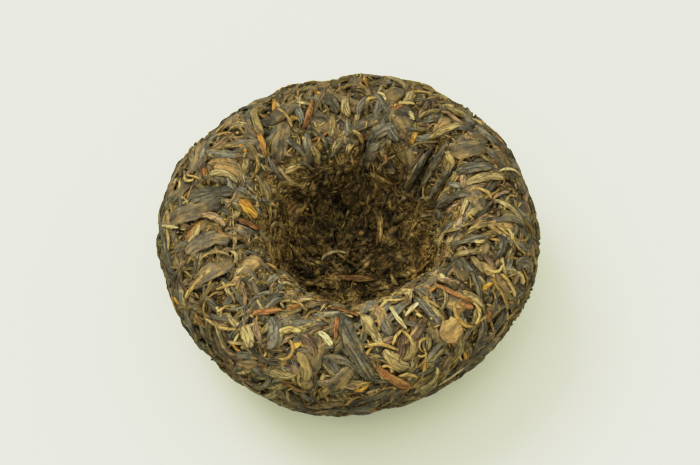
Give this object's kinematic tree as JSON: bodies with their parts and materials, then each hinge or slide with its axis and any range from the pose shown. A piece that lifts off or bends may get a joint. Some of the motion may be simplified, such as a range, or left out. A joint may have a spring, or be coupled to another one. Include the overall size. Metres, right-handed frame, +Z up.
{
  "type": "pressed pu-erh tea tuocha",
  "caption": "Bowl-shaped cake of pressed tea leaves: a thick rounded rim round a deep hollow, resting on its dome.",
  "frame": {"origin": "under the middle of the cake's box, at the level of the small flat spot that it rests on", "axes": "+Z up along the cake's axis and out of the hollow; +Y away from the picture's camera, +X to its right"},
  "size_m": [0.082, 0.0816, 0.0415],
  "materials": {
    "dark_leaf": "dry twisted tea leaf, slate to dark brown, satin with a faint grey sheen on its ridges",
    "olive_leaf": "dry tea leaf, olive to khaki, finely creased along its length, satin",
    "rust_leaf": "dry fermented leaf scraps, rust brown, matt",
    "golden_stem": "thin dry stems, golden tan, ridged, satin",
    "pale_bud": "downy dry buds and peeled stalks, cream, matt",
    "leaf_core": "broken leaf and dust in the gaps between the leaves, dark brown, matt"
  },
  "bodies": {
    "root": {"tuocha": "dark_leaf"}
  },
  "joints": []
}
